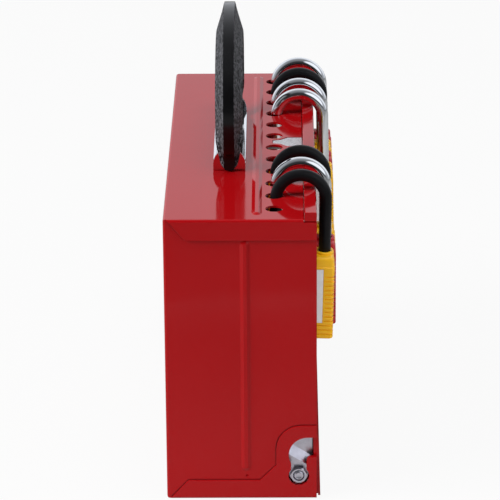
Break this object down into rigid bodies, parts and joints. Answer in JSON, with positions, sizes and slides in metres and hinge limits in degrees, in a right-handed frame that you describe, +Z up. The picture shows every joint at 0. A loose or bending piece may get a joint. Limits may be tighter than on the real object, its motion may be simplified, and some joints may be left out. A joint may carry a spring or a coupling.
{
  "type": "group lockout box",
  "caption": "Red folded-steel group lockout box with a hung front cover, a folding black handle and a row of padlocks locked through its top rail.",
  "frame": {"origin": "centre of the underside, which is the flat face mount base", "axes": "+X along the box towards the far end, -Y out of the front cover, +Z up"},
  "size_m": [0.243, 0.0896, 0.2307],
  "materials": {
    "red_paint": "gloss",
    "zinc": "satin",
    "chrome": "polished",
    "black_grip": "textured",
    "black_coat": "satin",
    "yellow_plastic": "satin",
    "red_plastic": "satin",
    "blank_label": "satin",
    "brass": "satin"
  },
  "bodies": {
    "case": {"case_shell": "red_paint", "handle_bracket": "chrome", "bracket_rivet_1": "chrome", "bracket_rivet_2": "chrome", "bracket_rivet_3": "chrome", "bracket_rivet_4": "chrome"},
    "handle": {"handle_loop": "black_grip", "handle_rod": "chrome"},
    "cover": {"cover_panel": "red_paint", "cover_top_rail": "red_paint", "cover_catch": "zinc", "pivot_arm_near": "zinc", "pivot_arm_far": "zinc", "pivot_bolt_near": "zinc", "pivot_bolt_far": "zinc", "pivot_nut_near": "zinc", "pivot_nut_far": "zinc", "arm_rivet_near_front": "zinc", "arm_rivet_near_back": "zinc", "arm_rivet_far_front": "zinc", "arm_rivet_far_back": "zinc"},
    "padlock_1": {"padlock_1_body": "red_plastic", "padlock_1_label_near": "blank_label", "padlock_1_label_far": "blank_label", "padlock_1_cylinder": "brass"},
    "shackle_1": {"padlock_1_shackle": "chrome"},
    "padlock_2": {"padlock_2_body": "yellow_plastic", "padlock_2_label_near": "blank_label", "padlock_2_label_far": "blank_label", "padlock_2_cylinder": "brass"},
    "shackle_2": {"padlock_2_shackle": "black_coat"},
    "padlock_3": {"padlock_3_body": "red_plastic", "padlock_3_label_near": "blank_label", "padlock_3_label_far": "blank_label", "padlock_3_cylinder": "brass"},
    "shackle_3": {"padlock_3_shackle": "chrome"},
    "padlock_4": {"padlock_4_body": "yellow_plastic", "padlock_4_label_near": "blank_label", "padlock_4_label_far": "blank_label", "padlock_4_cylinder": "brass"},
    "shackle_4": {"padlock_4_shackle": "chrome"},
    "padlock_5": {"padlock_5_body": "yellow_plastic", "padlock_5_label_near": "blank_label", "padlock_5_label_far": "blank_label", "padlock_5_cylinder": "brass"},
    "shackle_5": {"padlock_5_shackle": "black_coat"},
    "padlock_6": {"padlock_6_body": "red_plastic", "padlock_6_label_near": "blank_label", "padlock_6_label_far": "blank_label", "padlock_6_cylinder": "brass"},
    "shackle_6": {"padlock_6_shackle": "chrome"},
    "padlock_7": {"padlock_7_body": "yellow_plastic", "padlock_7_label_near": "blank_label", "padlock_7_label_far": "blank_label", "padlock_7_cylinder": "brass"},
    "shackle_7": {"padlock_7_shackle": "black_coat"}
  },
  "joints": [
    {"name": "handle_fold", "type": "hinge", "parent": "case", "child": "handle", "pos_m": [0, 0.0062, 0.1605], "axis": [-1, 0, 0], "range_deg": [-15, 60]},
    {"name": "cover_play", "type": "hinge", "parent": "case", "child": "cover", "pos_m": [0, -0.0297, 0.0129], "axis": [1, 0, 0], "range_deg": [0, 0.25]},
    {"name": "padlock_1_lift", "type": "slide", "parent": "case", "child": "padlock_1", "axis": [0, 0.014, 0.9999], "range_m": [0, 0.022]},
    {"name": "shackle_1_pop", "type": "slide", "parent": "padlock_1", "child": "shackle_1", "axis": [0, 0.014, 0.9999], "range_m": [0, 0.0105]},
    {"name": "padlock_2_lift", "type": "slide", "parent": "case", "child": "padlock_2", "axis": [0, 0.014, 0.9999], "range_m": [0, 0.022]},
    {"name": "shackle_2_pop", "type": "slide", "parent": "padlock_2", "child": "shackle_2", "axis": [0, 0.014, 0.9999], "range_m": [0, 0.0105]},
    {"name": "padlock_3_lift", "type": "slide", "parent": "case", "child": "padlock_3", "axis": [0, 0.014, 0.9999], "range_m": [0, 0.022]},
    {"name": "shackle_3_pop", "type": "slide", "parent": "padlock_3", "child": "shackle_3", "axis": [0, 0.014, 0.9999], "range_m": [0, 0.0105]},
    {"name": "padlock_4_lift", "type": "slide", "parent": "case", "child": "padlock_4", "axis": [0, 0.014, 0.9999], "range_m": [0, 0.022]},
    {"name": "shackle_4_pop", "type": "slide", "parent": "padlock_4", "child": "shackle_4", "axis": [0, 0.014, 0.9999], "range_m": [0, 0.0105]},
    {"name": "padlock_5_lift", "type": "slide", "parent": "case", "child": "padlock_5", "axis": [0, 0, 1], "range_m": [0, 0.022]},
    {"name": "shackle_5_pop", "type": "slide", "parent": "padlock_5", "child": "shackle_5", "axis": [0, 0, 1], "range_m": [0, 0.0105]},
    {"name": "padlock_6_lift", "type": "slide", "parent": "case", "child": "padlock_6", "axis": [0, 0, 1], "range_m": [0, 0.022]},
    {"name": "shackle_6_pop", "type": "slide", "parent": "padlock_6", "child": "shackle_6", "axis": [0, 0, 1], "range_m": [0, 0.0105]},
    {"name": "padlock_7_lift", "type": "slide", "parent": "case", "child": "padlock_7", "axis": [0, -0.0262, 0.9997], "range_m": [0, 0.022]},
    {"name": "shackle_7_pop", "type": "slide", "parent": "padlock_7", "child": "shackle_7", "axis": [0, -0.0262, 0.9997], "range_m": [0, 0.0105]}
  ]
}
